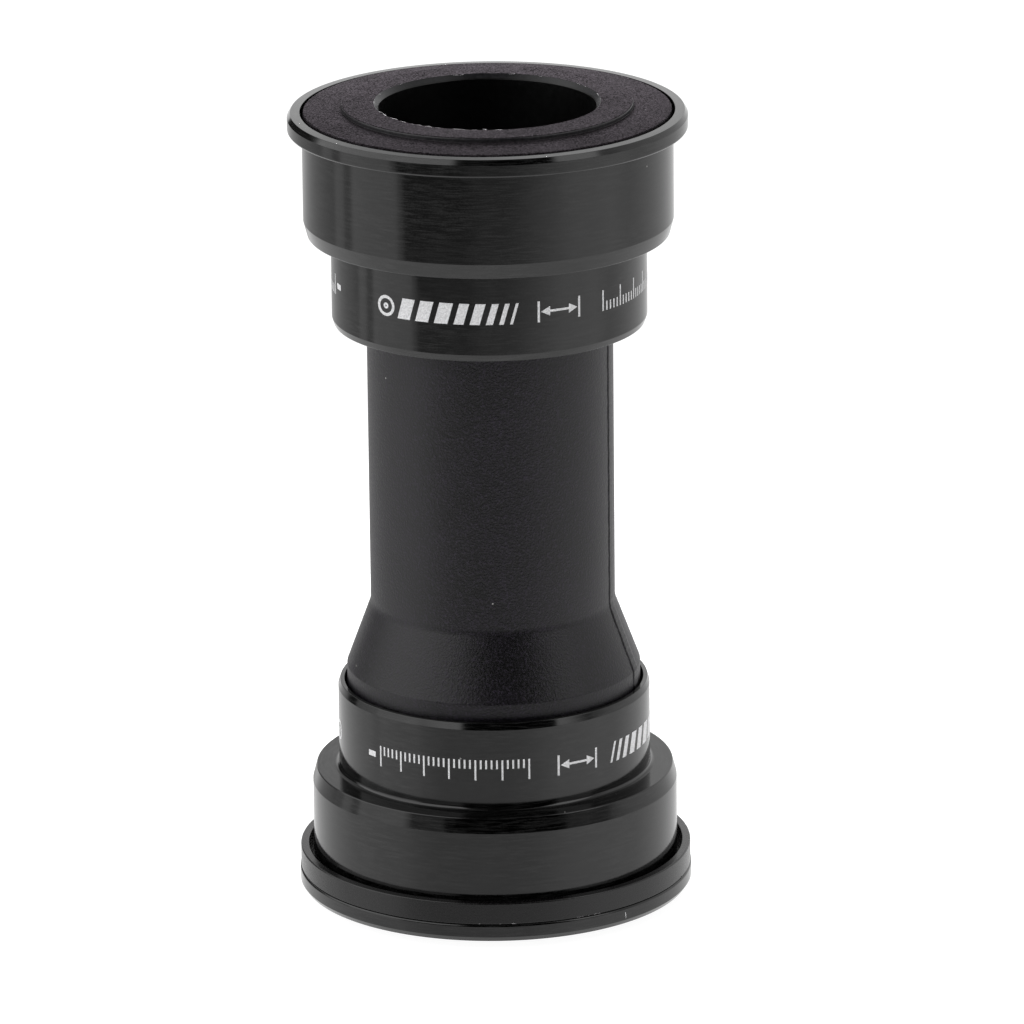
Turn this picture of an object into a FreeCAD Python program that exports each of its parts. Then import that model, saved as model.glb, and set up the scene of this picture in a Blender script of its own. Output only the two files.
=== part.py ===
# Press-fit bottom bracket for a 41 mm frame shell and a 24 mm crank spindle.
#
# Two identical turned aluminium cups, each with a 25 x 37 x 7 mm cartridge
# bearing and a rotating plastic dust cover, joined by a moulded centre sleeve
# that is flared at the drive side.  A loose 2.5 mm ring behind the drive-side
# flange fills out a narrower frame shell.
#
# Frame: millimetres, +Z along the spindle from the drive side to the
# non-drive side.  The origin is on the axis, at the outer face of the
# drive-side dust cover's boss, on which the unit stands.
#
# Each cup is drawn in its own coordinates: r from the axis, h inwards from
# the plane of the cup's outer rim.

import FreeCAD, Part
import math
import os

V = FreeCAD.Vector
AXIS_O = V(0, 0, 0)
AXIS_Z = V(0, 0, 1)

# ----------------------------------------------------------------- overall
rim_to_rim = 89.40          # between the two outer rim planes, as stored
cover_boss_proud = 0.95     # boss face outside the rim plane
overall_length = rim_to_rim + 2 * cover_boss_proud
drive_rim_z = cover_boss_proud
non_drive_rim_z = cover_boss_proud + rim_to_rim

# --------------------------------------------------------------------- cup
shell_seat_r = 20.50        # 41 mm frame shell
flange_r = 22.10
flange_t = 2.00
rim_flat_r = 21.75
rim_bevel_h = 0.55
flange_back_round = 0.25
seat_end_h = 12.10          # end of the press body
lead_in_r = 20.05
lead_in_end_h = 13.80       # flat shoulder
neck_r = 17.50
neck_fillet = 0.50
neck_end_h = 23.15
mouth_rim_r = 17.25
cup_h = 23.90
mouth_r = 16.75             # takes the sleeve's flared end
mouth_floor_h = 18.85
narrow_bore_r = 13.85       # takes the sleeve's plain end
groove_r = 14.85            # O-ring groove in the narrow bore
groove_h0, groove_h1 = 17.10, 18.30
stop_lip_r = 12.90
stop_lip_h0, stop_lip_h1 = 9.40, 10.10
race_relief_r = 17.00
bearing_seat_r = 18.50
bearing_h0, bearing_h1 = 1.40, 8.40
cover_seat_r = 20.68
cover_seat_h = 1.30

# ----------------------------------------------------------------- bearing
bearing_bore_r = 12.50
bearing_od_r = 18.49
ball_r = 1.75
ball_count = 17
pitch_r = 15.50
groove_ball_r = 1.82
outer_land_r = 16.95
inner_land_r = 14.05
race_chamfer = 0.25
seal_in_r, seal_out_r = 14.15, 17.28
seal_seat_r = 17.30
seal_gap, seal_t = 0.10, 0.80
cage_in_r, cage_out_r = 14.75, 16.25
cage_half_h = 2.25
pocket_r = 1.85

# -------------------------------------------------------------- dust cover
cover_r = 20.34
cover_face_h = -0.30
cover_back_h = 0.85
cover_edge = 0.24
boss_r = 16.10
boss_edge = 0.20
spindle_bore_r = 12.02      # 24 mm spindle
bore_mouth_r = 12.34
bore_lead = 0.32
cover_tube_r = 12.48
hub_r = 14.00
lip_in_r, lip_out_r = 18.90, 19.60
lip_tip_h = 1.25

# ------------------------------------------------------------------ sleeve
sleeve_z0 = drive_rim_z + mouth_floor_h + 0.05
sleeve_land_z1 = 26.70      # end of the straight part of the flared end
sleeve_cone_z1 = 34.10      # end of the cone
sleeve_z1 = non_drive_rim_z - stop_lip_h1 - 0.05
sleeve_land_r = 16.45
sleeve_r = 13.68
sleeve_in_r = 12.50
sleeve_land_in_r = 14.90
sleeve_groove_r = 15.60
sleeve_groove_z0, sleeve_groove_z1 = 21.30, 22.50
cone_blend = 1.20           # radius where the cone meets the tube and the land
sleeve_ring_r, sleeve_ring_minor = 16.18, 0.53
cup_ring_r, cup_ring_minor = 14.27, 0.54

# ------------------------------------------------------------------ spacer
spacer_in_r, spacer_out_r = 21.05, 22.00
spacer_t = 2.50
spacer_edge = 0.15


def P(r, z):
    return V(r, 0, z)


def turned(points, fillets=None):
    """A solid of revolution about Z from a closed outline in the r-z plane.

    fillets maps a point's index to the radius that rounds that corner."""
    fillets = fillets or {}
    n = len(points)
    starts, ends, arcs = [], [], []
    for i, (r, z) in enumerate(points):
        p = P(r, z)
        if i in fillets:
            rad = fillets[i]
            a = P(*points[(i - 1) % n]).sub(p)
            b = P(*points[(i + 1) % n]).sub(p)
            a.normalize()
            b.normalize()
            half = a.getAngle(b) / 2.0
            t = rad / math.tan(half)
            bis = a.add(b)
            bis.normalize()
            centre = p.add(bis.multiply(rad / math.sin(half)))
            s = p.add(V(a).multiply(t))
            e = p.add(V(b).multiply(t))
            to_p = p.sub(centre)
            to_p.normalize()
            mid = centre.add(to_p.multiply(rad))
            starts.append(s)
            ends.append(e)
            arcs.append(Part.Arc(s, mid, e).toShape())
        else:
            starts.append(p)
            ends.append(p)
            arcs.append(None)
    edges = []
    for i in range(n):
        if arcs[i] is not None:
            edges.append(arcs[i])
        j = (i + 1) % n
        if ends[i].distanceToPoint(starts[j]) > 1e-6:
            edges.append(Part.LineSegment(ends[i], starts[j]).toShape())
    face = Part.Face(Part.Wire(Part.__sortEdges__(edges)))
    solid = face.revolve(AXIS_O, AXIS_Z, 360)
    if solid.Volume < 0:
        solid.reverse()
    return solid


def torus(r, minor, z):
    return Part.makeTorus(r, minor, V(0, 0, z), AXIS_Z)


# ------------------------------------------------ pieces in cup coordinates
def make_cup():
    outline = [
        (cover_seat_r, 0.06),
        (cover_seat_r + 0.06, 0),
        (rim_flat_r, 0),
        (flange_r, rim_bevel_h),
        (flange_r, flange_t),
        (shell_seat_r, flange_t),
        (shell_seat_r, seat_end_h),
        (lead_in_r, lead_in_end_h - 0.12),
        (lead_in_r - 0.12, lead_in_end_h),
        (neck_r, lead_in_end_h),
        (neck_r, neck_end_h),
        (mouth_rim_r, cup_h),
        (mouth_r + 0.08, cup_h),
        (mouth_r, cup_h - 0.08),
        (mouth_r, mouth_floor_h),
        (narrow_bore_r + 0.15, mouth_floor_h),
        (narrow_bore_r, mouth_floor_h - 0.15),
        (narrow_bore_r, groove_h1),
        (groove_r, groove_h1),
        (groove_r, groove_h0),
        (narrow_bore_r, groove_h0),
        (narrow_bore_r, stop_lip_h1),
        (stop_lip_r, stop_lip_h1),
        (stop_lip_r, stop_lip_h0),
        (race_relief_r, stop_lip_h0),
        (race_relief_r, bearing_h1),
        (bearing_seat_r, bearing_h1),
        (bearing_seat_r, cover_seat_h + 0.2),
        (bearing_seat_r + 0.2, cover_seat_h),
        (cover_seat_r, cover_seat_h),
    ]
    return turned(outline, {4: flange_back_round, 9: neck_fillet})


def make_outer_race():
    mid = (bearing_h0 + bearing_h1) / 2
    seat0 = bearing_h0 + seal_gap + seal_t
    seat1 = bearing_h1 - seal_gap - seal_t
    c = race_chamfer
    body = turned([
        (seal_seat_r, bearing_h0),
        (bearing_od_r - c, bearing_h0),
        (bearing_od_r, bearing_h0 + c),
        (bearing_od_r, bearing_h1 - c),
        (bearing_od_r - c, bearing_h1),
        (seal_seat_r, bearing_h1),
        (seal_seat_r, seat1),
        (outer_land_r, seat1),
        (outer_land_r, seat0),
        (seal_seat_r, seat0),
    ])
    return body.cut(torus(pitch_r, groove_ball_r, mid))


def make_inner_race():
    mid = (bearing_h0 + bearing_h1) / 2
    c = race_chamfer
    body = turned([
        (bearing_bore_r, bearing_h0 + c),
        (bearing_bore_r + c, bearing_h0),
        (inner_land_r - 0.05, bearing_h0),
        (inner_land_r, bearing_h0 + 0.05),
        (inner_land_r, bearing_h1 - 0.05),
        (inner_land_r - 0.05, bearing_h1),
        (bearing_bore_r + c, bearing_h1),
        (bearing_bore_r, bearing_h1 - c),
    ])
    return body.cut(torus(pitch_r, groove_ball_r, mid))


def ball_places():
    mid = (bearing_h0 + bearing_h1) / 2
    for i in range(ball_count):
        a = 2 * math.pi * i / ball_count
        yield V(pitch_r * math.cos(a), pitch_r * math.sin(a), mid)


def make_balls():
    return Part.makeCompound([Part.makeSphere(ball_r, p) for p in ball_places()])


def make_cage():
    mid = (bearing_h0 + bearing_h1) / 2
    ring = turned([
        (cage_in_r, mid - cage_half_h),
        (cage_out_r, mid - cage_half_h),
        (cage_out_r, mid + cage_half_h),
        (cage_in_r, mid + cage_half_h),
    ])
    ring.rotate(V(0, 0, 0), V(0, 0, 1), 180.0 / ball_count)
    drills = []
    for p in ball_places():
        out = V(p.x, p.y, 0)
        out.normalize()
        start = p.sub(V(out).multiply(3.0))
        drills.append(Part.makeCylinder(pocket_r, 6.0, start, out))
    return ring.cut(Part.makeCompound(drills))


def make_seal(inboard):
    # a moulded disc with a shallow dished face and a thicker bead at each edge
    if inboard:
        h0, h1 = bearing_h1 - seal_gap, bearing_h1 - seal_gap - seal_t
    else:
        h0, h1 = bearing_h0 + seal_gap, bearing_h0 + seal_gap + seal_t
    s = 1 if h1 > h0 else -1
    d = 0.22 * s
    return turned([
        (seal_in_r, h0),
        (seal_in_r + 0.45, h0),
        (seal_in_r + 0.65, h0 + d),
        (seal_out_r - 0.75, h0 + d),
        (seal_out_r - 0.55, h0),
        (seal_out_r, h0),
        (seal_out_r, h1),
        (seal_in_r, h1),
    ])


def make_cover():
    return turned([
        (spindle_bore_r, -cover_boss_proud + bore_lead),
        (bore_mouth_r, -cover_boss_proud),
        (boss_r - boss_edge, -cover_boss_proud),
        (boss_r, -cover_boss_proud + boss_edge),
        (boss_r, cover_face_h),
        (cover_r - cover_edge, cover_face_h),
        (cover_r, cover_face_h + cover_edge),
        (cover_r, cover_back_h),
        (hub_r, cover_back_h),
        (hub_r, bearing_h0),
        (cover_tube_r, bearing_h0),
        (cover_tube_r, bearing_h1),
        (spindle_bore_r, bearing_h1),
    ])


def make_cover_lip():
    # a rubber bead that tapers to a thin wiping edge
    return turned([
        (lip_in_r, cover_back_h),
        (lip_out_r, cover_back_h),
        (lip_out_r, lip_tip_h),
        (lip_out_r - 0.22, lip_tip_h),
        (lip_in_r + 0.10, cover_back_h + 0.20),
    ])


def place(shape, drive_side):
    """Cup coordinates to the frame: h runs +Z at the drive side, -Z at the other."""
    s = shape.copy()
    if drive_side:
        s.translate(V(0, 0, drive_rim_z))
    else:
        s.rotate(V(0, 0, 0), V(1, 0, 0), 180)
        s.translate(V(0, 0, non_drive_rim_z))
    return s


def place_even(shape, drive_side):
    """The ball set is the same seen from either side, so it is only shifted."""
    mid = (bearing_h0 + bearing_h1) / 2
    s = shape.copy()
    z = drive_rim_z + mid if drive_side else non_drive_rim_z - mid
    s.translate(V(0, 0, z - mid))
    return s


# ------------------------------------------------------- pieces in the frame
def make_sleeve():
    outline = [
        (sleeve_land_in_r, sleeve_z0),
        (sleeve_land_r - 0.20, sleeve_z0),
        (sleeve_land_r, sleeve_z0 + 0.20),
        (sleeve_land_r, sleeve_groove_z0),
        (sleeve_groove_r, sleeve_groove_z0),
        (sleeve_groove_r, sleeve_groove_z1),
        (sleeve_land_r, sleeve_groove_z1),
        (sleeve_land_r, sleeve_land_z1),
        (sleeve_r, sleeve_cone_z1),
        (sleeve_r, sleeve_z1 - 0.30),
        (sleeve_r - 0.25, sleeve_z1),
        (sleeve_in_r, sleeve_z1),
        (sleeve_in_r, sleeve_cone_z1 - 0.60),
        (sleeve_land_in_r, sleeve_land_z1 + 0.20),
    ]
    return turned(outline, {7: cone_blend, 8: 2 * cone_blend})


def make_sleeve_flared_ring():
    return torus(sleeve_ring_r, sleeve_ring_minor, (sleeve_groove_z0 + sleeve_groove_z1) / 2)


def make_sleeve_plain_ring():
    return torus(cup_ring_r, cup_ring_minor, non_drive_rim_z - (groove_h0 + groove_h1) / 2)


def make_spacer():
    z0 = drive_rim_z + flange_t
    z1 = z0 + spacer_t
    e = spacer_edge
    return turned([
        (spacer_in_r, z0 + e),
        (spacer_in_r + e, z0),
        (spacer_out_r - e, z0),
        (spacer_out_r, z0 + e),
        (spacer_out_r, z1 - e),
        (spacer_out_r - e, z1),
        (spacer_in_r + e, z1),
        (spacer_in_r, z1 - e),
    ])


nodes = {}
for side, is_drive in (("drive_side", True), ("non_drive_side", False)):
    nodes[side + "_cup"] = place(make_cup(), is_drive)
    nodes[side + "_dust_cover"] = place(make_cover(), is_drive)
    nodes[side + "_cover_lip"] = place(make_cover_lip(), is_drive)
    nodes[side + "_bearing_outer_race"] = place(make_outer_race(), is_drive)
    nodes[side + "_bearing_inner_race"] = place(make_inner_race(), is_drive)
    nodes[side + "_bearing_balls"] = place_even(make_balls(), is_drive)
    nodes[side + "_ball_cage"] = place_even(make_cage(), is_drive)
    nodes[side + "_bearing_outboard_seal"] = place(make_seal(False), is_drive)
    nodes[side + "_bearing_inboard_seal"] = place(make_seal(True), is_drive)
nodes["centre_sleeve"] = make_sleeve()
nodes["sleeve_flared_end_o_ring"] = make_sleeve_flared_ring()
nodes["sleeve_plain_end_o_ring"] = make_sleeve_plain_ring()
nodes["shell_width_spacer"] = make_spacer()

os.makedirs("parts", exist_ok=True)
for name, shape in nodes.items():
    if not shape.isValid():
        print("not valid:", name)
    print("%-40s solids %2d  volume %9.2f mm3" % (name, len(shape.Solids), shape.Volume))
    shape.exportStep("parts/" + name + ".step")
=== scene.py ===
import math

import bpy
import numpy as np
from mathutils import Matrix, Vector


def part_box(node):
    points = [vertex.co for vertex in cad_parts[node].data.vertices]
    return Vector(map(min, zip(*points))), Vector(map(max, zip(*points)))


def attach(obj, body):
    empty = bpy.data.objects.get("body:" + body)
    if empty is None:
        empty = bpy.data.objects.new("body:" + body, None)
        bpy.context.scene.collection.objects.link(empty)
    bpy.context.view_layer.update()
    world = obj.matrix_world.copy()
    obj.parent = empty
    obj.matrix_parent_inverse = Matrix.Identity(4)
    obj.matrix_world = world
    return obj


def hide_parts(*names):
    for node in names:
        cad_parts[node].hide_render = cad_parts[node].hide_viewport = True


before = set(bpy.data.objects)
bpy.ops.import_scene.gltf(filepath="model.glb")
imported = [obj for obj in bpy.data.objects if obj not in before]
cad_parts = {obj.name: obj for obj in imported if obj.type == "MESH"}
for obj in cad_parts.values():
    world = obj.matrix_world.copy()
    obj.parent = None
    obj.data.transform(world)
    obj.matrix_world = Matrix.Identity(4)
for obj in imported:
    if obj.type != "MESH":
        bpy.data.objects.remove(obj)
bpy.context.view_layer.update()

MM = 0.001
LINE_DEPTH = 1.2e-6  # height of the turning marks in the bump, metres
SCENE = bpy.context.scene

# ------------------------------------------------------------------ stations
# Each cup is described by h, the distance inwards from its outer rim plane.
_lo, _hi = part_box("drive_side_cup")
RIM0 = _lo.z / MM
CUP_H = (_hi.z - _lo.z) / MM
FLANGE_R = _hi.x / MM
_lo, _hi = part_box("non_drive_side_cup")
RIM1 = _hi.z / MM
_lo, _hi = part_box("centre_sleeve")
SLEEVE0, SLEEVE1, SLEEVE_LAND_R = _lo.z / MM, _hi.z / MM, _hi.x / MM
_lo, _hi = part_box("shell_width_spacer")
SPACER0, SPACER1, SPACER_R = _lo.z / MM, _hi.z / MM, _hi.x / MM
BODIES = {
    "drive_side": ("drive_cup_unit", "drive_rotor", "drive_ball_set"),
    "non_drive_side": ("non_drive_cup_unit", "non_drive_rotor", "non_drive_ball_set"),
}


def to_z(side, h):
    return RIM0 + h if side == "drive_side" else RIM1 - h


# ------------------------------------------------------------- mesh building
def rounded_outline(corners, arc_steps=4):
    """A closed outline in the r-z plane as (r, z, nr, nz) rows.

    corners are (r, z, radius).  Every corner is rounded, so the normals run
    on smoothly from a flat into its edge and out again."""
    pts = [np.array(c[:2], float) for c in corners]
    rad = [c[2] if len(c) > 2 else 0.04 for c in corners]
    n = len(pts)
    area = sum(
        pts[i][0] * pts[(i + 1) % n][1] - pts[(i + 1) % n][0] * pts[i][1] for i in range(n)
    )
    if area < 0:
        pts.reverse()
        rad.reverse()
    rows = []
    for i in range(n):
        p, a, b = pts[i], pts[i - 1], pts[(i + 1) % n]
        u, v = p - a, b - p
        lu, lv = np.linalg.norm(u), np.linalg.norm(v)
        u, v = u / lu, v / lv
        turn = math.atan2(u[0] * v[1] - u[1] * v[0], float(u @ v))
        if abs(turn) < 1e-4:
            continue
        t = min(rad[i] * math.tan(abs(turn) / 2), 0.45 * lu, 0.45 * lv)
        r = t / math.tan(abs(turn) / 2)
        s = 1.0 if turn > 0 else -1.0
        centre = p - u * t + np.array([-u[1], u[0]]) * r * s
        n0 = np.array([u[1], -u[0]])
        steps = max(2, int(math.ceil(arc_steps * abs(turn) / (math.pi / 2))))
        for k in range(steps + 1):
            w = turn * k / steps
            c, d = math.cos(w), math.sin(w)
            nk = np.array([n0[0] * c - n0[1] * d, n0[0] * d + n0[1] * c])
            q = centre + nk * r * s
            rows.append((q[0], q[1], nk[0], nk[1]))
    return np.array(rows)


def split_long(rows, longest):
    """Adds rings along the straight stretches longer than longest."""
    out = []
    n = len(rows)
    for i in range(n):
        a, b = rows[i], rows[(i + 1) % n]
        out.append(a)
        d = np.hypot(*(b[:2] - a[:2]))
        k = int(d // longest)
        for j in range(1, k + 1):
            out.append(a + (b - a) * j / (k + 1))
    return np.array(out)


def make_object(name, verts_m, faces, normals=None, smooth=True):
    mesh = bpy.data.meshes.new(name)
    mesh.from_pydata([tuple(v) for v in verts_m], [], faces)
    mesh.polygons.foreach_set("use_smooth", [smooth] * len(mesh.polygons))
    mesh.update()
    if normals is not None:
        mesh.normals_split_custom_set_from_vertices([tuple(v) for v in normals])
    ob = bpy.data.objects.new(name, mesh)
    SCENE.collection.objects.link(ob)
    return ob


def turned(name, rows, angles=None, shift=None):
    """Revolves an outline about Z into one closed mesh.

    shift(r, z, angle) may give a small radial offset with its slopes, as
    arrays (offset, d/d_angle, d/d_z), for detail that isn't round."""
    if angles is None:
        angles = np.linspace(0, 2 * math.pi, 360, endpoint=False)
    m, n = len(rows), len(angles)
    r = np.repeat(rows[:, 0:1], n, 1)
    z = np.repeat(rows[:, 1:2], n, 1)
    nr = np.repeat(rows[:, 2:3], n, 1)
    nz = np.repeat(rows[:, 3:4], n, 1)
    a = np.repeat(angles[None, :], m, 0)
    na = np.zeros_like(r)
    if shift is not None:
        d, d_a, d_z = shift(r, z, a, nr)
        na = -d_a / np.maximum(r, 1e-6) * nr
        nz = nz - d_z * nr
        r = r + d
    ca, sa = np.cos(a), np.sin(a)
    co = np.stack([r * ca, r * sa, z], -1).reshape(-1, 3) * MM
    no = np.stack([nr * ca - na * sa, nr * sa + na * ca, nz], -1).reshape(-1, 3)
    no /= np.linalg.norm(no, axis=1)[:, None]
    i = np.arange(m)[:, None]
    j = np.arange(n)[None, :]
    i2, j2 = (i + 1) % m, (j + 1) % n
    quads = np.stack(
        [
            np.broadcast_to(i * n + j, (m, n)),
            np.broadcast_to(i * n + j2, (m, n)),
            np.broadcast_to(i2 * n + j2, (m, n)),
            np.broadcast_to(i2 * n + j, (m, n)),
        ],
        -1,
    ).reshape(-1, 4)
    return make_object(name, co, quads.tolist(), no)


def side_outline(side, corners, arc_steps=4):
    return rounded_outline([(c[0], to_z(side, c[1]), *c[2:]) for c in corners], arc_steps)


# ----------------------------------------------------------------- materials
class Nodes:
    """A small helper that keeps a material's node code readable."""

    def __init__(self, name, slot_like=None):
        self.mat = bpy.data.materials.new(name)
        self.mat.use_nodes = True
        self.tree = self.mat.node_tree
        self.tree.nodes.clear()
        self.out = self.add("ShaderNodeOutputMaterial")
        self.bsdf = self.add("ShaderNodeBsdfPrincipled")
        self.link(self.bsdf.outputs[0], self.out.inputs["Surface"])

    def add(self, kind, **props):
        node = self.tree.nodes.new(kind)
        for k, v in props.items():
            setattr(node, k, v)
        return node

    def link(self, a, b):
        self.tree.links.new(a, b)

    def put(self, socket, value):
        if hasattr(value, "is_output") or isinstance(value, bpy.types.NodeSocket):
            self.link(value, socket)
        else:
            socket.default_value = value

    def math(self, op, a, b=0.0, c=0.0, clamp=False):
        node = self.add("ShaderNodeMath", operation=op, use_clamp=clamp)
        for s, v in zip(node.inputs, (a, b, c)):
            self.put(s, v)
        return node.outputs[0]

    def object_xyz(self):
        tc = self.add("ShaderNodeTexCoord")
        sep = self.add("ShaderNodeSeparateXYZ")
        self.link(tc.outputs["Object"], sep.inputs[0])
        return tc.outputs["Object"], sep.outputs[0], sep.outputs[1], sep.outputs[2]

    def combine(self, x, y, z):
        node = self.add("ShaderNodeCombineXYZ")
        for s, v in zip(node.inputs, (x, y, z)):
            self.put(s, v)
        return node.outputs[0]

    def noise(self, vector, scale, detail=3.0, rough=0.5, dims="3D", distortion=0.0):
        node = self.add("ShaderNodeTexNoise", noise_dimensions=dims)
        if vector is not None:
            self.link(vector, node.inputs["Vector"])
        node.inputs["Scale"].default_value = scale
        node.inputs["Detail"].default_value = detail
        node.inputs["Roughness"].default_value = rough
        node.inputs["Distortion"].default_value = distortion
        return node.outputs[0]

    def strokes(self, vector, w, scale, detail=1.0, rough=0.5):
        """Noise that also varies with w, such as the radius."""
        node = self.add("ShaderNodeTexNoise", noise_dimensions="4D")
        self.link(vector, node.inputs["Vector"])
        self.put(node.inputs["W"], w)
        node.inputs["Scale"].default_value = scale
        node.inputs["Detail"].default_value = detail
        node.inputs["Roughness"].default_value = rough
        return node.outputs[0]

    def remap(self, value, lo, hi, to_lo, to_hi, clamp=True):
        node = self.add("ShaderNodeMapRange", clamp=clamp)
        self.put(node.inputs["Value"], value)
        node.inputs["From Min"].default_value = lo
        node.inputs["From Max"].default_value = hi
        node.inputs["To Min"].default_value = to_lo
        node.inputs["To Max"].default_value = to_hi
        return node.outputs[0]

    def mix_colour(self, factor, a, b):
        node = self.add("ShaderNodeMix", data_type="RGBA")
        self.put(node.inputs["Factor"], factor)
        self.put(node.inputs[6], a)
        self.put(node.inputs[7], b)
        return node.outputs[2]

    def bump(self, height, distance, strength=1.0, normal=None):
        node = self.add("ShaderNodeBump")
        node.inputs["Strength"].default_value = strength
        node.inputs["Distance"].default_value = distance
        self.link(height, node.inputs["Height"])
        if normal is not None:
            self.link(normal, node.inputs["Normal"])
        return node.outputs[0]

    def set(self, name, value):
        self.put(self.bsdf.inputs[name], value)


def dust(n, obj, colour, share, tone=(0.42, 0.41, 0.40, 1), scale=520.0, size=0.055):
    """Odd pale specks of dust, about one cell in 1/share."""
    vor = n.add("ShaderNodeTexVoronoi")
    n.link(obj, vor.inputs["Vector"])
    vor.inputs["Scale"].default_value = scale
    lone = n.add("ShaderNodeSeparateColor")
    n.link(vor.outputs["Color"], lone.inputs[0])
    near = n.math("LESS_THAN", vor.outputs["Distance"], size)
    few = n.math("LESS_THAN", lone.outputs[0], share)
    return n.mix_colour(n.math("MULTIPLY", n.math("MULTIPLY", near, few), 0.55), colour, tone)


def turned_aluminium(name, seed, specular=0.5):
    """Black anodised aluminium: fine turning marks that run round the axis.

    The marks are thin across the turning direction and drawn out along it."""
    n = Nodes(name)
    obj, x, y, z = n.object_xyz()
    r = n.math("SQRT", n.math("ADD", n.math("MULTIPLY", x, x), n.math("MULTIPLY", y, y)))
    drawn = n.combine(n.math("MULTIPLY", x, 0.06), n.math("MULTIPLY", y, 0.06), n.math("ADD", z, seed))
    fine = n.strokes(drawn, r, 8800.0, 1.0)
    coarse = n.strokes(drawn, r, 3300.0, 1.0)
    # the marks fade in and out round the piece, as the tool loads up
    wander = n.noise(obj, 130.0, 2.0, 0.5)
    cloud = n.noise(obj, 1300.0, 3.0, 0.6)
    pores = n.noise(obj, 6200.0, 1.0, 0.5)
    lines = n.math("ADD", n.math("MULTIPLY", fine, 0.55), n.math("MULTIPLY", coarse, 0.20))
    lines = n.math("ADD", lines, n.math("MULTIPLY", pores, 0.25))
    lines = n.math("ADD", n.math("MULTIPLY", n.math("SUBTRACT", lines, 0.5), n.remap(wander, 0.35, 0.65, 0.45, 1.15)), 0.5)
    tone = n.math("ADD", n.remap(cloud, 0.35, 0.70, 0.0, 0.05), n.remap(lines, 0.46, 0.61, 0.0, 0.95))
    colour = n.mix_colour(tone, (0.0003, 0.0003, 0.0003, 1), (0.0118, 0.0118, 0.0118, 1))
    n.set("Base Color", dust(n, obj, colour, 0.07, size=0.05))
    n.set("Roughness", n.math("ADD", n.remap(lines, 0.35, 0.65, 0.085, 0.135), n.remap(cloud, 0.35, 0.75, 0.0, 0.025)))
    n.set("Metallic", 0.0)
    n.set("IOR", 1.5)
    n.set("Specular IOR Level", specular)
    n.set("Normal", n.bump(lines, LINE_DEPTH, 1.0))
    return n.mat


def moulded_plastic(name, dark, light, rough, grain, depth, specks=0.0, specular=0.5, painted_shade_bore=0.0, sparse=0.0):
    """Matte moulded plastic: spark-eroded grain, faint mottling, odd dust.

    The bore radius argument gives the radius within which a bore is smooth and painted almost black: painted shade for
    the darkness down a deep hole."""
    n = Nodes(name)
    obj, x, y, z = n.object_xyz()
    g = n.noise(obj, grain, 1.5, 0.6)
    g2 = n.noise(obj, grain * 0.42, 1.0, 0.5)
    mottle = n.noise(obj, 170.0, 3.0, 0.55)
    height = n.math("ADD", n.math("MULTIPLY", g, 0.78), n.math("MULTIPLY", g2, 0.22))
    tone = n.math("ADD", n.remap(height, 0.40 + sparse, 0.62 + 0.4 * sparse, 0.0, 0.85), n.remap(mottle, 0.35, 0.65, 0.0, 0.15))
    colour = n.mix_colour(tone, dark, light)
    roughness = n.remap(height, 0.3, 0.7, rough - 0.06, rough + 0.07)
    # painted shade: within the given radius the bore's colour goes to near black, for the darkness down the hole
    if painted_shade_bore > 0:
        r = n.math("SQRT", n.math("ADD", n.math("MULTIPLY", x, x), n.math("MULTIPLY", y, y)))
        bore_painted_shade = n.remap(r, (painted_shade_bore - 0.03) * MM, (painted_shade_bore + 0.03) * MM, 1.0, 0.0)
        colour = n.mix_colour(bore_painted_shade, colour, (0.0006, 0.0006, 0.0006, 1))
    if specks > 0:
        colour = dust(n, obj, colour, specks)
    n.set("Base Color", colour)
    n.set("Roughness", roughness)
    n.set("IOR", 1.46)
    n.set("Specular IOR Level", specular)
    n.set("Normal", n.bump(height, depth, 1.0))
    return n.mat


def ground_steel(name, base, rough):
    n = Nodes(name)
    obj, x, y, z = n.object_xyz()
    r = n.math("SQRT", n.math("ADD", n.math("MULTIPLY", x, x), n.math("MULTIPLY", y, y)))
    lines = n.noise(n.combine(r, 0.0, z), 7000.0, 3.0, 0.6)
    n.set("Base Color", n.mix_colour(lines, [c * 0.88 for c in base[:3]] + [1], base))
    n.set("Metallic", 1.0)
    n.set("Roughness", n.remap(lines, 0.3, 0.7, rough * 0.8, rough * 1.25))
    n.set("Normal", n.bump(lines, 0.000003, 1.0))
    return n.mat


def laser_mark(name):
    """Bare, lightly frosted metal where the anodising is burnt off."""
    n = Nodes(name)
    obj, x, y, z = n.object_xyz()
    g = n.noise(obj, 6500.0, 3.0, 0.65)
    n.set("Base Color", n.mix_colour(n.remap(g, 0.35, 0.65, 0.0, 1.0), (0.50, 0.50, 0.51, 1), (0.82, 0.82, 0.83, 1)))
    n.set("Metallic", 0.0)
    n.set("Roughness", 0.5)
    n.set("Normal", n.bump(g, 0.000004, 1.0))
    return n.mat


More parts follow.
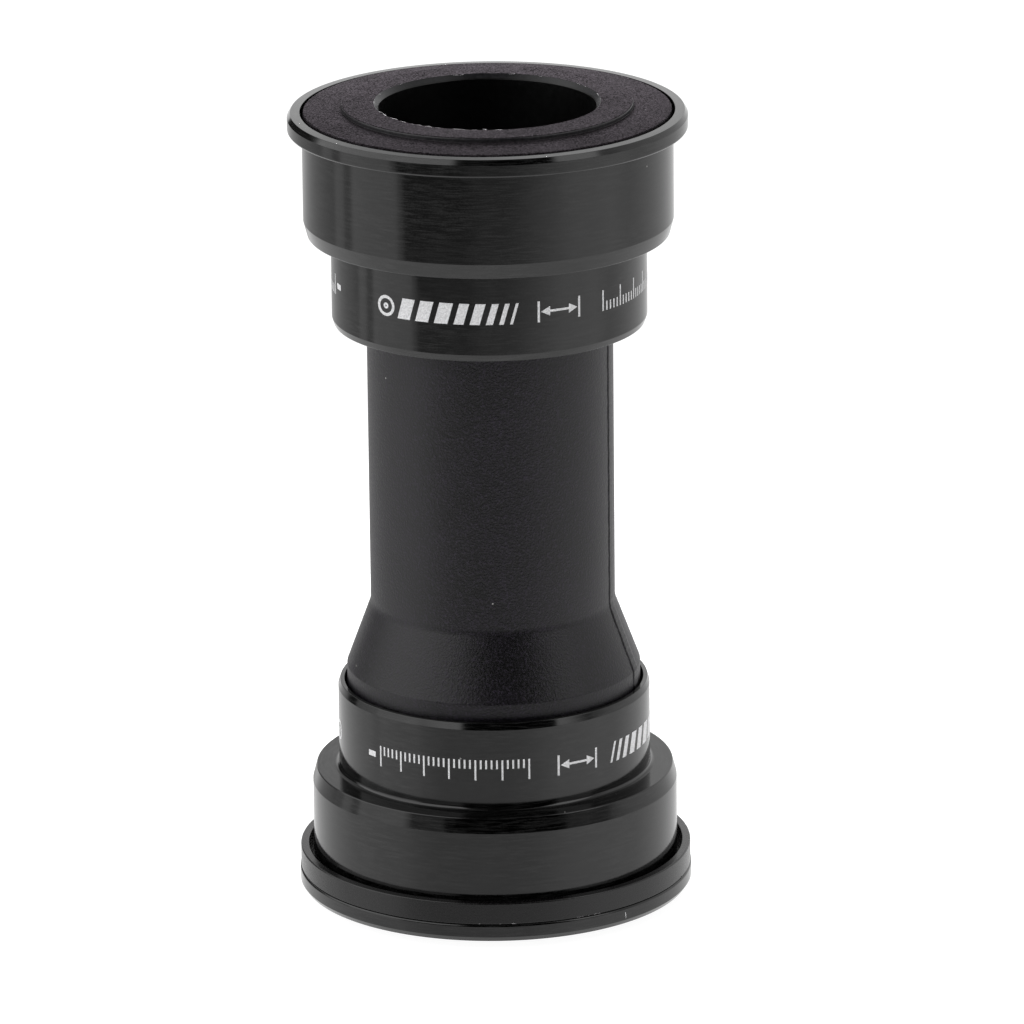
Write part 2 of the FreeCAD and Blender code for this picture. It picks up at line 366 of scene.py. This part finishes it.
MAT = {
    "cup_drive": turned_aluminium("anodised_drive", 0.31),
    "cup_non_drive": turned_aluminium("anodised_non_drive", 0.0),
    "cup_shoulder": turned_aluminium("anodised_shoulder", 0.77, specular=0.22),
    "cover": moulded_plastic("cover_plastic", (0.0016, 0.0013, 0.0016, 1), (0.0345, 0.0300, 0.0343, 1), 0.68, 5200.0, 0.000050, specks=0.12, specular=0.03),
    "sleeve": moulded_plastic("sleeve_plastic", (0.0004, 0.0002, 0.0006, 1), (0.0108, 0.0072, 0.0152, 1), 0.44, 4300.0, 0.000050, specks=0.05, sparse=0.10),
    "spacer": moulded_plastic("spacer_plastic", (0.0012, 0.0010, 0.0012, 1), (0.0052, 0.0046, 0.0051, 1), 0.24, 4300.0, 0.000006, specks=0.08),
    # this smooth plastic also paints the bore near black within r 12.14 mm, as painted shade
    "cover_smooth": moulded_plastic("cover_smooth_plastic", (0.0034, 0.0034, 0.0040, 1), (0.0084, 0.0082, 0.0096, 1), 0.34, 2600.0, 0.000008, specks=0.10, specular=0.40, painted_shade_bore=12.14),
    "cover_side": moulded_plastic("cover_side_plastic", (0.0100, 0.0096, 0.0108, 1), (0.0260, 0.0246, 0.0270, 1), 0.42, 3000.0, 0.000010, specular=0.45),
    # painted shade: a near-black material for the recess round each cover's edge
    "painted_shade_recess": moulded_plastic("recess_shade", (0.0003, 0.0003, 0.0003, 1), (0.0016, 0.0016, 0.0016, 1), 0.62, 3600.0, 0.000006, specular=0.04),
    "rubber": moulded_plastic("seal_rubber", (0.014, 0.014, 0.014, 1), (0.024, 0.024, 0.024, 1), 0.62, 4200.0, 0.000008),
    "oring": moulded_plastic("o_ring_rubber", (0.010, 0.010, 0.010, 1), (0.018, 0.018, 0.018, 1), 0.38, 3200.0, 0.000003),
    "nylon": moulded_plastic("cage_nylon", (0.46, 0.35, 0.20, 1), (0.58, 0.45, 0.27, 1), 0.46, 3600.0, 0.000006),
    "steel": ground_steel("bearing_steel", (0.62, 0.62, 0.63, 1), 0.26),
    "ball": ground_steel("ball_steel", (0.78, 0.78, 0.79, 1), 0.08),
    "mark": laser_mark("laser_mark"),
    "flash": moulded_plastic("mould_flash", (0.10, 0.095, 0.10, 1), (0.36, 0.35, 0.36, 1), 0.5, 4300.0, 0.000003),
}


def dress(ob, mat, slot):
    ob.data.materials.clear()
    ob.data.materials.append(MAT[mat])
    return ob


def other_material(ob, side, mat, test):
    """Gives the faces for which test(radius, height from the rim) holds mat."""
    ob.data.materials.append(MAT[mat])
    for face in ob.data.polygons:
        x, y, z = face.center
        height = z / MM - RIM0 if side == "drive_side" else RIM1 - z / MM
        if test(math.hypot(x, y) / MM, height):
            face.material_index = len(ob.data.materials) - 1


# -------------------------------------------------------------------- pieces
def make_cup(side):
    end = CUP_H
    corners = [
        (20.68, -0.06, 0.05),
        (FLANGE_R - 0.35, 0, 0.05),
        (FLANGE_R, 0.55, 0.06),
        (FLANGE_R, 2.00, 0.26),
        (20.50, 2.00, 0.05),
        (20.50, 12.10, 0.10),
        (20.05, 13.80, 0.14),
        (17.50, 13.80, 0.50),
        (17.50, end - 0.75, 0.08),
        (17.25, end, 0.07),
        (16.75, end, 0.08),
        (16.75, 18.85, 0.10),
        (13.85, 18.85, 0.12),
        (13.85, 18.30, 0.05),
        (14.85, 18.30, 0.08),
        (14.85, 17.10, 0.08),
        (13.85, 17.10, 0.05),
        (13.85, 10.10, 0.05),
        (12.90, 10.10, 0.05),
        (12.90, 9.40, 0.05),
        (17.00, 9.40, 0.05),
        (17.00, 8.40, 0.05),
        (18.50, 8.40, 0.05),
        (18.50, 1.30, 0.15),
        (20.68, 1.30, 0.10),
    ]
    ob = turned(side + "_cup_turned", split_long(side_outline(side, corners), 2.0))
    dress(ob, "cup_drive" if side == "drive_side" else "cup_non_drive", "cup_anodised")
    # the narrow recess round the cover, where no light gets out again: its faces get a near-black material, painted
    # shade for a deep gap
    other_material(ob, side, "painted_shade_recess", lambda r, h: r < 20.70 and 0.01 < h < 1.35)
    # the flat shoulder, faced off in another pass, is duller than the turned sides
    other_material(ob, side, "cup_shoulder", lambda r, h: 17.62 < r < 20.0 and abs(h - 13.8) < 0.12)
    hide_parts(side + "_cup")
    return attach(ob, BODIES[side][0])


def make_cover(side):
    corners = [
        (12.02, -0.38, 0.08),
        (12.54, -0.95, 0.06),
        (16.10, -0.95, 0.22),
        (16.10, -0.43, 0.05),
        (20.34, -0.17, 0.20),
        (20.34, 0.85, 0.06),
        (14.00, 0.85, 0.05),
        (14.00, 1.40, 0.05),
        (12.48, 1.40, 0.04),
        (12.48, 8.40, 0.04),
        (12.02, 8.40, 0.04),
    ]
    ob = turned(side + "_cover_moulded", split_long(side_outline(side, corners), 1.5))
    dress(ob, "cover", "cover_plastic")
    # the opening's lead-in and bore, and the boss's side, are smooth, not grained; deep in the bore the colour is
    # painted shade, near black
    other_material(ob, side, "cover_smooth", lambda r, h: r < 12.535)
    other_material(ob, side, "cover_side", lambda r, h: 16.02 < r < 16.2 and -0.92 < h < -0.45)
    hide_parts(side + "_dust_cover")
    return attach(ob, BODIES[side][1])


for side in BODIES:
    make_cup(side)
    make_cover(side)

# the sleeve, with its two mould parting lines
PART_ANGLES = (math.radians(-18.6), math.radians(161.4))


def sleeve_angles():
    base = np.linspace(0, 2 * math.pi, 360, endpoint=False)
    extra = []
    for p in PART_ANGLES:
        for d in np.arange(-0.6, 2.3, 0.04):
            extra.append((p + d / 13.68) % (2 * math.pi))
    keep = [a for a in base if min(abs((a - e + math.pi) % (2 * math.pi) - math.pi) for e in extra) > 0.002]
    return np.array(sorted(keep + extra))


def wobble(z, seed):
    return (
        0.5 * np.sin(z * 2.1 + seed)
        + 0.3 * np.sin(z * 5.3 + 1.7 * seed)
        + 0.2 * np.sin(z * 11.9 + 2.3 * seed)
        + 0.12 * np.sin(z * 27.0 + 0.6 * seed)
    )


def parting(r, z, a, nr):
    """A ragged groove with a low raised strip beside it, outside only.

    The strip is what the second mould half leaves standing proud."""
    d = np.zeros_like(r)
    d_a = np.zeros_like(r)
    d_z = np.zeros_like(r)
    outside = np.clip((nr - 0.5) / 0.3, 0, 1)
    for k, p in enumerate(PART_ANGLES):
        off = (a - p + math.pi) % (2 * math.pi) - math.pi
        s = off * r
        near = outside * (np.abs(off) < 0.5)
        c = s + 0.06 * wobble(z, 3.0 + k)
        depth = 0.085 * np.clip(0.85 + 0.5 * wobble(z, 8.0 + 2 * k), 0.15, 1.4)
        w = 0.10
        g = np.exp(-((c / w) ** 2))
        d -= near * depth * g
        d_a -= near * depth * g * (-2 * c / w**2) * r
        # the strip rises just past the groove and falls away further round
        lift = 0.085
        e0 = 1 / (1 + np.exp(-np.clip((c - 0.13) / 0.03, -40, 40)))
        e1 = 1 / (1 + np.exp(-np.clip((s - 1.75) / 0.09, -40, 40)))
        d += near * lift * (e0 - e1)
        d_a += near * lift * (e0 * (1 - e0) / 0.03 - e1 * (1 - e1) / 0.09) * r
        # fine saw marks across the strip, strongest on the flare
        flare = np.clip((37.0 - z) / 3.0, 0.12, 1.0)
        q = 2 * math.pi / 0.62
        d += near * (e0 - e1) * flare * 0.012 * np.sin(q * z + 1.3 * np.sin(1.9 * z))
        d_z += near * (e0 - e1) * flare * 0.012 * q * np.cos(q * z + 1.3 * np.sin(1.9 * z))
    return d, d_a, d_z


sleeve_rows = split_long(
    rounded_outline(
        [
            (14.90, SLEEVE0, 0.08),
            (SLEEVE_LAND_R, SLEEVE0, 0.16),
            (SLEEVE_LAND_R, 21.30, 0.05),
            (15.60, 21.30, 0.08),
            (15.60, 22.50, 0.08),
            (SLEEVE_LAND_R, 22.50, 0.05),
            (SLEEVE_LAND_R, 26.70, 0.60),
            (13.68, 34.10, 2.40),
            (13.68, SLEEVE1, 0.25),
            (12.50, SLEEVE1, 0.10),
            (12.50, 33.50, 1.50),
            (14.90, 26.90, 1.00),
        ],
        6,
    ),
    0.16,
)
sleeve = turned("centre_sleeve_moulded", sleeve_rows, sleeve_angles(), parting)
dress(sleeve, "sleeve", "sleeve_plastic")
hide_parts("centre_sleeve")
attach(sleeve, "sleeve_unit")

spacer = turned(
    "shell_width_spacer_moulded",
    rounded_outline(
        [
            (21.05, SPACER0, 0.12),
            (SPACER_R, SPACER0, 0.14),
            (SPACER_R, SPACER1, 0.16),
            (21.05, SPACER1, 0.12),
        ],
        5,
    ),
)
dress(spacer, "spacer", "spacer_plastic")
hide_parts("shell_width_spacer")
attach(spacer, "spacer_ring")

CAD_DRESS = {
    "cover_lip": ("rubber", "seal_rubber"),
    "bearing_outer_race": ("steel", "bearing_steel"),
    "bearing_inner_race": ("steel", "bearing_steel"),
    "bearing_balls": ("ball", "ball_steel"),
    "ball_cage": ("nylon", "cage_nylon"),
    "bearing_outboard_seal": ("rubber", "seal_rubber"),
    "bearing_inboard_seal": ("rubber", "seal_rubber"),
}
for side in BODIES:
    for part, (mat, slot) in CAD_DRESS.items():
        dress(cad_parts[side + "_" + part], mat, slot)
for part in ("sleeve_flared_end_o_ring", "sleeve_plain_end_o_ring"):
    dress(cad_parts[part], "oring", "o_ring_rubber")


# --------------------------------------------------------------------- marks
# Generic laser marks round each cup's neck: a plain ring symbol, slanted bars,
# a width arrow and a graduation.  There is no lettering.
def strip(verts, faces, pairs, closed, place, flip):
    """One closed plate from pairs of (s, t) points, such as a bar's two edges."""
    base = len(verts)
    for a, b in pairs:
        for p in (a, b):
            for lift in (-0.010, 0.007):
                verts.append(place(p[0], p[1], lift))
    n = len(pairs)
    out = []
    for k in range(n if closed else n - 1):
        p = base + 4 * k
        q = base + 4 * ((k + 1) % n)
        out += [
            (p + 1, q + 1, q + 3, p + 3),
            (p, p + 2, q + 2, q),
            (p, q, q + 1, p + 1),
            (p + 2, p + 3, q + 3, q + 2),
        ]
    if not closed:
        p, q = base, base + 4 * (n - 1)
        out += [(p, p + 1, p + 3, p + 2), (q, q + 2, q + 3, q + 1)]
    faces += [tuple(reversed(f)) for f in out] if flip else out


def bar(s0, s1, t0, t1, slant=0.0):
    k = max(2, int(abs(s1 - s0) / 0.25) + 2)
    rows = []
    for i in range(k):
        s = s0 + (s1 - s0) * i / (k - 1)
        rows.append(((s - slant, t0), (s + slant, t1)))
    return rows, False


def hoop(cs, ct, r_in, r_out, n=40):
    rows = []
    for i in range(n):
        a = 2 * math.pi * i / n
        c, d = math.cos(a), math.sin(a)
        rows.append(((cs + r_out * c, ct + r_out * d), (cs + r_in * c, ct + r_in * d)))
    return rows, True


def arrow(tip, back, half):
    """A filled arrowhead that points from back to tip along s."""
    rows = []
    for i in range(5):
        f = i / 4
        h = half * f + 0.02
        s = tip + (back - tip) * f
        rows.append(((s, -h), (s, h)) if back > tip else ((s, h), (s, -h)))
    return (rows if back > tip else [((a[0], -abs(a[1])), (b[0], abs(b[1]))) for a, b in reversed(rows)]), False


def mark_set():
    """Plates in mm along the neck from the set's own centre line."""
    deg = math.radians(1) * 17.5
    h = 1.18
    plates = []
    # a ring with a dot in it, then bars that narrow
    s = -44 * deg
    plates.append(hoop(s + h, 0.0, 0.84, h))
    plates.append(hoop(s + h, 0.0, 0.10, 0.34, 20))
    s += 2 * h + 0.75
    end = 9.5 * deg
    widths = [1.55, 1.55, 1.55, 1.1, 1.1, 0.75, 0.5, 0.32]
    gap = ((end - s) - sum(widths)) / (len(widths) - 1)
    for w in widths:
        plates.append(bar(s, s + w, -h, h, 0.34))
        s += w + gap
    # a width arrow between two stops
    a, b = 17.5 * deg, 34.5 * deg
    plates.append(bar(a, a + 0.26, -h, h))
    plates.append(bar(b - 0.26, b, -h, h))
    plates.append(arrow(a + 0.42, a + 1.45, 0.52))
    plates.append(arrow(b - 0.42, b - 1.45, 0.52))
    plates.append(bar(a + 1.40, b - 1.40, -0.13, 0.13))
    # a graduation, with a short bar at its end
    s = 45 * deg
    for k in range(31):
        top = h if k % 5 == 0 else -0.15
        plates.append(bar(s, s + 0.20, -h, top))
        s += 0.60
    plates.append(bar(s + 0.35, s + 1.55, -0.32, 0.32))
    return plates


def make_marks(side):
    upright = side == "non_drive_side"
    z0 = to_z(side, 18.5)
    # the drive side cup is the same cup turned over, so its marks are too
    up = turn = 1.0 if upright else -1.0
    centre = -math.pi / 2 + (0.0 if upright else math.radians(58.0))
    verts, faces = [], []
    for half_turn in (0.0, math.pi):

        def place(s, t, lift, half_turn=half_turn):
            a = centre + half_turn + turn * s / 17.5
            r = 17.5 + lift
            return (r * math.cos(a) * MM, r * math.sin(a) * MM, (z0 + up * t) * MM)

        for rows, closed in mark_set():
            strip(verts, faces, rows, closed, place, False)
    ob = make_object(side + "_cup_marks", verts, faces, smooth=False)
    dress(ob, "mark", "cup_anodised")
    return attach(ob, BODIES[side][0])


for side in BODIES:
    make_marks(side)


# the thin ragged flash that the mould leaves round each cover's opening
def slivers(name, body, mat, slot, seed, flip, items):
    """Thin closed slivers; items are (angle, r, z, length, width, lean)."""
    rng = np.random.RandomState(seed)
    verts, faces = [], []
    for a0, r0, z0, length, width, lean in items:
        ripple, wave = rng.uniform(0, 6.28), rng.uniform(2.0, 4.5)

        def place(s, t, lift, a0=a0, r0=r0, z0=z0, lean=lean, ripple=ripple, wave=wave):
            a = a0 + s / r0
            r = r0 - lean * (0.45 + 0.55 * math.sin(wave * s + ripple)) - t
            z = z0 + (0.035 if lift < 0 else 0.0) * (-1 if flip else 1)
            return (r * math.cos(a) * MM, r * math.sin(a) * MM, z * MM)

        m = 11
        rows = []
        for i in range(m):
            f = i / (m - 1)
            w = width * (0.2 + math.sin(math.pi * f) * (0.65 + 0.35 * math.sin(8 * f + ripple)))
            rows.append(((length * f, -w / 2), (length * f, w / 2)))
        strip(verts, faces, rows, False, place, not flip)
    ob = make_object(name, verts, faces, smooth=False)
    dress(ob, mat, slot)
    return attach(ob, body)


def make_flash(side, seed, worst):
    """More flash near the angle worst, where the gate was, than elsewhere."""
    rng = np.random.RandomState(seed)
    items = []
    for k in range(64):
        near_gate = k < 40
        a = worst + rng.normal(0.0, 0.48) if near_gate else rng.uniform(0, 2 * math.pi)
        size = 1.0 if near_gate else 0.55
        z = to_z(side, -0.95 + rng.uniform(0.012, 0.06))
        items.append((a, 12.53, z, rng.uniform(0.35, 1.7) * size, rng.uniform(0.06, 0.13) * size, rng.uniform(0.0, 0.18)))
    # one curl that stands into the opening
    items.append((worst + 0.62, 12.42, to_z(side, -0.93), 0.55, 0.16, 0.34))
    return slivers(side + "_cover_flash", BODIES[side][1], "flash", "cover_plastic", seed + 1, side != "drive_side", items)


make_flash("drive_side", 5, 0.7)
make_flash("non_drive_side", 11, math.radians(-128))

# crumbs of flash in the joint between the spacer and the flange
_rng = np.random.RandomState(3)
_items = [
    (math.radians(-90 + _a), SPACER_R + 0.02, SPACER0 + 0.09, _l, _w, 0.0)
    for _a, _l, _w in (
        (1.0, 0.16, 0.13), (-5.0, 0.14, 0.08), (4.4, 0.5, 0.06), (24.0, 0.8, 0.07), (27.3, 0.24, 0.15), (29.5, 0.9, 0.06),
        (71.0, 0.3, 0.09), (118.0, 0.5, 0.08), (163.0, 0.2, 0.12), (214.0, 0.6, 0.08), (251.0, 0.25, 0.11),
    )
]
slivers("shell_width_spacer_crumbs", "spacer_ring", "flash", "spacer_plastic", 9, False, _items)


def make_nicks():
    """Two short scratches through the anodising, down the flange's side."""
    verts, faces = [], []
    for angle, h, length, width, lean in ((-49.4, 1.42, 0.74, 0.09, 0.10), (128.0, 1.2, 0.5, 0.07, -0.06)):

        def place(s, t, lift, angle=angle, h=h, lean=lean):
            a = math.radians(angle) + (t + lean * s) / FLANGE_R
            r = FLANGE_R - 0.002 + lift * 0.5
            return (r * math.cos(a) * MM, r * math.sin(a) * MM, to_z("drive_side", h - s) * MM)

        m = 7
        rows = []
        for i in range(m):
            f = i / (m - 1)
            w = width * (0.25 + 0.75 * math.sin(math.pi * min(1.0, 0.15 + f * 0.85)))
            rows.append(((length * f, -w / 2), (length * f, w / 2)))
        strip(verts, faces, rows, False, place, False)
    ob = make_object("drive_side_cup_nicks", verts, faces, smooth=False)
    dress(ob, "mark", "cup_anodised")
    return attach(ob, "drive_cup_unit")


make_nicks()

# --------------------------------------------------------------------- stage
floor_mesh = bpy.data.meshes.new("floor")
_n = 96
_v = [(0.0, 0.0, 0.0)] + [
    (1.6 * math.cos(2 * math.pi * k / _n), 1.6 * math.sin(2 * math.pi * k / _n), 0.0) for k in range(_n)
]
floor_mesh.from_pydata(_v, [], [(0, 1 + k, 1 + (k + 1) % _n) for k in range(_n)])
floor = bpy.data.objects.new("floor", floor_mesh)
SCENE.collection.objects.link(floor)
fm = bpy.data.materials.new("pale_floor")
fm.use_nodes = True
ft = fm.node_tree
ft.nodes.clear()
f_out = ft.nodes.new("ShaderNodeOutputMaterial")
f_mix = ft.nodes.new("ShaderNodeAddShader")
f_dif = ft.nodes.new("ShaderNodeBsdfDiffuse")
f_dif.inputs["Color"].default_value = (0.20, 0.20, 0.20, 1)
f_em = ft.nodes.new("ShaderNodeEmission")
f_em.inputs["Color"].default_value = (1, 1, 1, 1)
f_em.inputs["Strength"].default_value = 0.95
ft.links.new(f_dif.outputs[0], f_mix.inputs[0])
ft.links.new(f_em.outputs[0], f_mix.inputs[1])
ft.links.new(f_mix.outputs[0], f_out.inputs["Surface"])
floor.data.materials.append(fm)
floor.visible_glossy = False

# The studio is a light tent: white walls and table, open towards the camera,
# with a large softbox to the left, a smaller one to the right and a few cards.
world = bpy.data.worlds.new("light_tent")
SCENE.world = world
world.use_nodes = True
wt = world.node_tree
wt.nodes.clear()


def w_add(kind, **props):
    node = wt.nodes.new(kind)
    for k, v in props.items():
        setattr(node, k, v)
    return node


def w_math(op, a, b=0.0, clamp=False):
    node = w_add("ShaderNodeMath", operation=op, use_clamp=clamp)
    for s, v in zip(node.inputs, (a, b)):
        if isinstance(v, bpy.types.NodeSocket):
            wt.links.new(v, s)
        else:
            s.default_value = v
    return node.outputs[0]


def w_edge(value, at, soft, rising):
    """Goes 0 to 1 (or 1 to 0) over soft degrees about the angle at."""
    node = w_add("ShaderNodeMapRange", interpolation_type="SMOOTHSTEP")
    wt.links.new(value, node.inputs["Value"])
    node.inputs["From Min"].default_value = at - soft / 2 - 0.01
    node.inputs["From Max"].default_value = at + soft / 2 + 0.01
    node.inputs["To Min"].default_value = 0.0 if rising else 1.0
    node.inputs["To Max"].default_value = 1.0 if rising else 0.0
    return node.outputs[0]


tc = w_add("ShaderNodeTexCoord")
sep = w_add("ShaderNodeSeparateXYZ")
wt.links.new(tc.outputs["Generated"], sep.inputs[0])
dx, dy, dz = sep.outputs
# degrees: azimuth 0 is towards the camera, positive to its right
az = w_math("MULTIPLY", w_math("ARCTAN2", dx, w_math("MULTIPLY", dy, -1.0)), 180 / math.pi)
az_round = w_math("ABSOLUTE", az)
el = w_math("MULTIPLY", w_math("ARCSINE", dz), 180 / math.pi)

WALL = 0.60
# (name, azimuth from, to, softness of each edge, height from, to, softness of
# each edge, brightness).  None leaves that side open.  Later panels stand in
# front of earlier ones; a from above 0 with "both" stands on both sides.
PANELS = [
    ("table", None, None, 0, 0, None, -17.0, 0, 4, 1.08, False),
    ("table_near", None, None, 0, 0, None, -32.0, 0, 16, 1.28, False),
    ("table_dip", -48, 40, 30, 30, -26, -12.0, 8, 5, 0.8, False),
    ("left_wall", None, -93, 0, 6, -18, 24, 3, 10, 0.56, False),
    ("left_small_card", -110, -101, 4, 2, -19, 2, 3, 6, 0.92, False),
    ("right_wall", 85, None, 16, 0, -18, 34, 3, 10, 0.88, False),
    ("back_wall", 148, None, 30, 0, -14, 18.5, 4, 4, 1.10, True),
    ("front_opening", -54, 49, 3, 12, -15.4, None, 7, 0, 0.0, False),
    ("front_opening_left", -54, -10, 3, 16, -15.75, -8, 5, 4, 0.04, False),
    ("grey_card", -53, -32, 3, 3, -4, 13.5, 4, 4, 0.32, False),
    ("right_low_wall", 46, 76, 10, 6, -9, 14, 4, 4, 0.28, False),
    ("left_softbox_foot", -94, -58, 3, 3, -17.5, 9, 3, 8, 1.18, False),
    ("left_softbox", -118, -56, 5, 9, 8, 40, 14, 10, 1.75, False),
    ("left_overhead", -118, -24, 5, 4, 14, 57, 2.5, 8, 1.9, False),
    ("left_flag", -158, -119, 4, 4, -3.6, 19, 2, 4, 0.03, False),
    ("right_softbox", 47, 76, 4, 4, 13.5, 57, 2.5, 6, 2.0, False),
    ("right_table_glow", 34, 90, 60, 20, -20, -12, 4, 6, 1.25, False),
]
tent = WALL
for name, a0, a1, sa0, sa1, e0, e1, se0, se1, bright, both in PANELS:
    around = az_round if both else az
    mask = None
    for value, at, soft, rising in (
        (around, a0, sa0, True), (around, a1, sa1, False), (el, e0, se0, True), (el, e1, se1, False),
    ):
        if at is None:
            continue
        edge = w_edge(value, at, soft, rising)
        mask = edge if mask is None else w_math("MULTIPLY", mask, edge)
    mix = w_add("ShaderNodeMix", data_type="FLOAT")
    mix.name = name
    wt.links.new(mask, mix.inputs[0])
    if isinstance(tent, float):
        mix.inputs[2].default_value = tent
    else:
        wt.links.new(tent, mix.inputs[2])
    mix.inputs[3].default_value = bright
    tent = mix.outputs[0]
bg_env = w_add("ShaderNodeBackground")
wt.links.new(tent, bg_env.inputs["Color"])
bg_env.inputs["Strength"].default_value = 1.0
bg_cam = w_add("ShaderNodeBackground")
bg_cam.inputs["Color"].default_value = (1, 1, 1, 1)
bg_cam.inputs["Strength"].default_value = 1.0
lp = w_add("ShaderNodeLightPath")
w_mix = w_add("ShaderNodeMixShader")
wt.links.new(lp.outputs["Is Camera Ray"], w_mix.inputs[0])
wt.links.new(bg_env.outputs[0], w_mix.inputs[1])
wt.links.new(bg_cam.outputs[0], w_mix.inputs[2])
w_out = w_add("ShaderNodeOutputWorld")
wt.links.new(w_mix.outputs[0], w_out.inputs["Surface"])

# two panels that only fill in, so they aren't seen in reflections: one broad
# and overhead, one small, low and close behind, which falls off to the front
def fill(name, size, energy, place, look_at):
    data = bpy.data.lights.new(name, "AREA")
    data.shape = "DISK"
    data.size = size
    data.energy = energy
    lamp = bpy.data.objects.new(name, data)
    lamp.location = place
    lamp.rotation_mode = "QUATERNION"
    lamp.rotation_quaternion = (Vector(look_at) - Vector(place)).to_track_quat("-Z", "Y")
    SCENE.collection.objects.link(lamp)
    lamp.visible_glossy = False


fill("overhead_fill", 0.9, 2.1, (0.0, 0.15, 1.1), (0.0, 0.15, 0.0))
fill("back_fill", 0.06, 1.2, (0.0, 0.125, 0.150), (0.0, 0.0, 0.088))

# -------------------------------------------------------------------- camera
PITCH = math.radians(17.16)
ROLL = math.radians(0.62)
FOCAL_PX = 8623.0
DIST = 0.96258
cam_data = bpy.data.cameras.new("camera")
cam_data.sensor_width = 36.0
cam_data.lens = FOCAL_PX / 1024.0 * 36.0
cam_data.clip_start = 0.05
cam_data.clip_end = 20.0
cam = bpy.data.objects.new("camera", cam_data)
SCENE.collection.objects.link(cam)
forward = Vector((0.0, math.cos(PITCH), -math.sin(PITCH)))
up = Vector((0.0, math.sin(PITCH), math.cos(PITCH)))
right = Vector((1.0, 0.0, 0.0))
# the axis's middle point sits a little left of, and above, the picture's centre
ref = Vector((0.0, 0.0, (RIM0 + RIM1) / 2 * MM))
X0, Y0 = -2.253 * MM, 1.604 * MM
cr, sr = math.cos(ROLL), math.sin(ROLL)
# the picture's axes: the scene turned by ROLL in the picture
right_r = right * cr - up * sr
up_r = right * sr + up * cr
cam.location = ref - forward * DIST - right_r * X0 - up_r * Y0
cam.rotation_mode = "QUATERNION"
cam.rotation_quaternion = Matrix(
    (
        (right_r.x, up_r.x, -forward.x),
        (right_r.y, up_r.y, -forward.y),
        (right_r.z, up_r.z, -forward.z),
    )
).to_quaternion()
SCENE.camera = cam
SCENE.view_settings.view_transform = "Standard"
SCENE.view_settings.look = "None"
